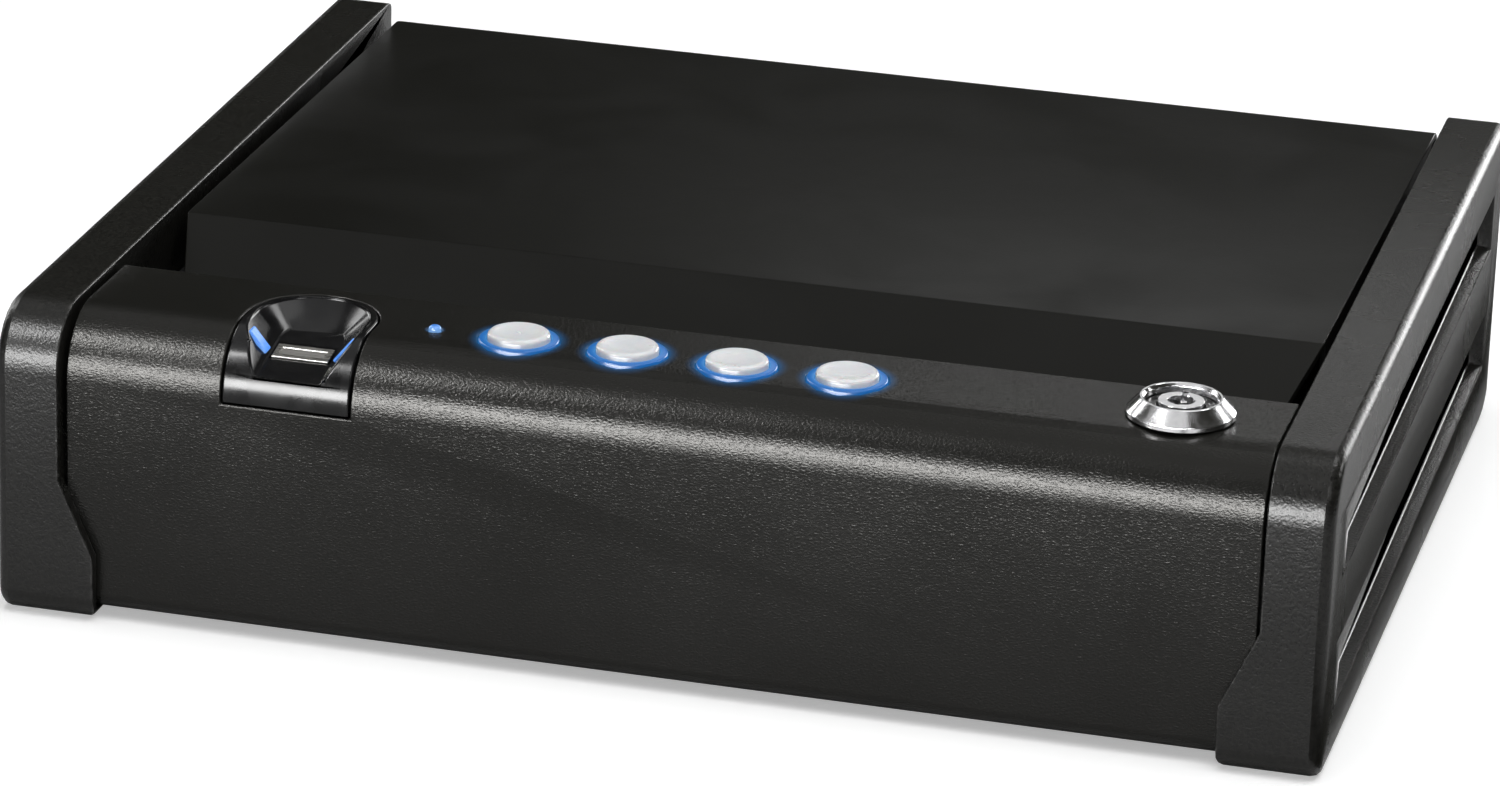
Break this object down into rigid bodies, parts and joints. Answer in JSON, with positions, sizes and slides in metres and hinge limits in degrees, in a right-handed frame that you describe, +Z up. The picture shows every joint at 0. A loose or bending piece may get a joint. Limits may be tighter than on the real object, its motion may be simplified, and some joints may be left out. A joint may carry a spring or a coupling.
{
  "type": "biometric safe",
  "caption": "Low rectangular steel safe between two moulded side caps, with a rear-hinged lid, a front console with fingerprint reader, lit push buttons and a key lock.",
  "frame": {"origin": "centre of the footprint, on the plane that the side caps and the rubber feet stand on", "axes": "+X to the right along the front, +Y from the front console to the hinge, +Z up"},
  "size_m": [0.287, 0.233, 0.0719],
  "materials": {
    "cap_plastic": "finely textured matt black moulding",
    "console_plastic": "black moulding with a leather grain",
    "gloss_plastic": "polished piano black",
    "lid_paint": "satin black paint on steel sheet",
    "powder_coat": "matt black powder coat on steel sheet",
    "zinc_steel": "zinc plated steel",
    "chrome": "polished chrome plate",
    "lock_black": "black lock face, satin",
    "pearl_plastic": "pearl white, soft gloss",
    "blue_light_guide": "clear light guide, lit blue from behind",
    "sensor_metal": "fine brushed sensor frame",
    "circuit_board": "green solder mask",
    "holder_plastic": "plain black moulding",
    "cell_can": "cell can with a plain dark wrap",
    "lead_insulation": "red insulation",
    "copper_winding": "enamelled copper winding",
    "rubber": "black rubber",
    "foam": "charcoal open-cell foam"
  },
  "bodies": {
    "base": {"base_tray": "powder_coat", "side_cap_left": "cap_plastic", "side_cap_right": "cap_plastic", "side_cap_screw_1": "zinc_steel", "side_cap_screw_2": "zinc_steel", "side_cap_screw_3": "zinc_steel", "side_cap_screw_4": "zinc_steel", "console_screw_1": "zinc_steel", "console_screw_2": "zinc_steel", "bulkhead_screw_1": "zinc_steel", "bulkhead_screw_2": "zinc_steel", "rubber_foot_1": "rubber", "rubber_foot_2": "rubber", "rubber_foot_3": "rubber", "rubber_foot_4": "rubber", "front_console": "console_plastic", "reader_insert": "gloss_plastic", "fingerprint_sensor": "sensor_metal", "reader_light_guide_left": "blue_light_guide", "reader_light_guide_right": "blue_light_guide", "status_lens": "blue_light_guide", "key_light_ring_1": "blue_light_guide", "key_light_ring_2": "blue_light_guide", "key_light_ring_3": "blue_light_guide", "key_light_ring_4": "blue_light_guide", "circuit_board": "circuit_board", "lock_bezel": "chrome", "lock_barrel": "lock_black", "lock_nut": "zinc_steel", "lock_bulkhead": "powder_coat", "battery_holder": "holder_plastic", "battery_1": "cell_can", "battery_2": "cell_can", "battery_3": "cell_can", "battery_4": "cell_can", "battery_door_pin": "zinc_steel", "battery_lead": "lead_insulation", "latch_guide_left": "holder_plastic", "latch_guide_right": "holder_plastic", "solenoid_frame": "zinc_steel", "solenoid_coil": "copper_winding", "hinge_base_leaf": "zinc_steel", "hinge_pin": "zinc_steel", "lid_bumper_left": "rubber", "lid_bumper_right": "rubber", "foam_floor_pad": "foam"},
    "lid": {"lid_panel": "lid_paint", "hinge_lid_leaf": "zinc_steel", "striker_left": "zinc_steel", "striker_right": "zinc_steel", "foam_lid_pad": "foam"},
    "button_1": {"button_1": "pearl_plastic"},
    "button_2": {"button_2": "pearl_plastic"},
    "button_3": {"button_3": "pearl_plastic"},
    "button_4": {"button_4": "pearl_plastic"},
    "lock_plug": {"key_plug": "chrome", "lock_cam": "zinc_steel"},
    "latch": {"latch_bar": "zinc_steel", "solenoid_plunger": "chrome"},
    "battery_door": {"battery_door": "console_plastic"}
  },
  "joints": [
    {"name": "lid_hinge", "type": "hinge", "parent": "base", "child": "lid", "pos_m": [0, 0.1138, 0.047], "axis": [-1, 0, 0], "range_deg": [0, 100]},
    {"name": "button_1_press", "type": "slide", "parent": "base", "child": "button_1", "axis": [0, 0, -1], "range_m": [0, 0.0008], "stiffness_N_per_m": 600},
    {"name": "button_2_press", "type": "slide", "parent": "base", "child": "button_2", "axis": [0, 0, -1], "range_m": [0, 0.0008], "stiffness_N_per_m": 600},
    {"name": "button_3_press", "type": "slide", "parent": "base", "child": "button_3", "axis": [0, 0, -1], "range_m": [0, 0.0008], "stiffness_N_per_m": 600},
    {"name": "button_4_press", "type": "slide", "parent": "base", "child": "button_4", "axis": [0, 0, -1], "range_m": [0, 0.0008], "stiffness_N_per_m": 600},
    {"name": "key_turn", "type": "hinge", "parent": "base", "child": "lock_plug", "pos_m": [0.1064, -0.092, 0.068], "axis": [0, 0, -1], "range_deg": [0, 90]},
    {"name": "latch_slide", "type": "slide", "parent": "base", "child": "latch", "axis": [1, 0, 0], "range_m": [0, 0.006]},
    {"name": "battery_door_hinge", "type": "hinge", "parent": "base", "child": "battery_door", "pos_m": [0, -0.0411, 0.0074], "axis": [-1, 0, 0], "range_deg": [0, 80]}
  ],
  "couplings": [
    {"joint": "key_turn", "follows": "latch_slide", "rad_per_m": 261.8}
  ]
}
